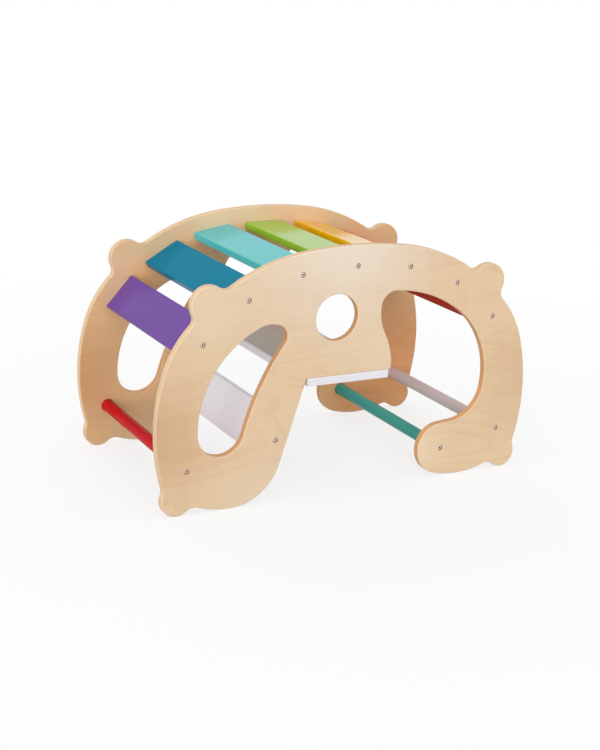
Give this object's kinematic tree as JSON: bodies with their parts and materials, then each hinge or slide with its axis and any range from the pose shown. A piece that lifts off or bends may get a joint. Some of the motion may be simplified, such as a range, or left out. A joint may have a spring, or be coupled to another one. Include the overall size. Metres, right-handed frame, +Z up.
{
  "type": "wooden climbing arch rocker",
  "caption": "Wooden climbing arch and rocker for small children: curved plywood sides joined by coloured slats, a seat board, a back board and round rungs.",
  "frame": {"origin": "on the floor, midway along the arch and midway between the side panels", "axes": "+X along the arch from the tall leg with the hollow towards the curled foot; +Y from the near side panel to the far one; +Z up"},
  "size_m": [0.896, 0.478, 0.5409],
  "materials": {
    "side_wood": "clear satin varnish on birch plywood",
    "purple_paint": "satin paint on wood",
    "blue_paint": "satin paint on wood",
    "aqua_paint": "satin paint on wood",
    "green_paint": "satin paint on wood",
    "yellow_paint": "satin paint on wood",
    "orange_paint": "satin paint on wood",
    "red_paint": "satin paint on wood",
    "teal_paint": "satin paint on wood",
    "grey_paint": "satin paint on wood",
    "white_paint": "satin paint on wood",
    "screw_steel": "zinc plated",
    "dowel_wood": "bare beech"
  },
  "bodies": {
    "root": {"near_side_panel": "side_wood", "far_side_panel": "side_wood", "purple_slat": "purple_paint", "blue_slat": "blue_paint", "aqua_slat": "aqua_paint", "green_slat": "green_paint", "yellow_slat": "yellow_paint", "orange_slat": "orange_paint", "red_slat": "red_paint", "seat_board": "white_paint", "back_board": "white_paint", "red_rung": "red_paint", "teal_rung": "teal_paint", "grey_rung": "grey_paint", "near_slat_screws": "screw_steel", "far_slat_screws": "screw_steel", "near_slat_dowels": "dowel_wood", "far_slat_dowels": "dowel_wood", "near_rung_screws": "screw_steel", "far_rung_screws": "screw_steel", "back_board_screws": "screw_steel", "back_board_dowels": "dowel_wood", "seat_screws": "screw_steel"}
  },
  "joints": []
}
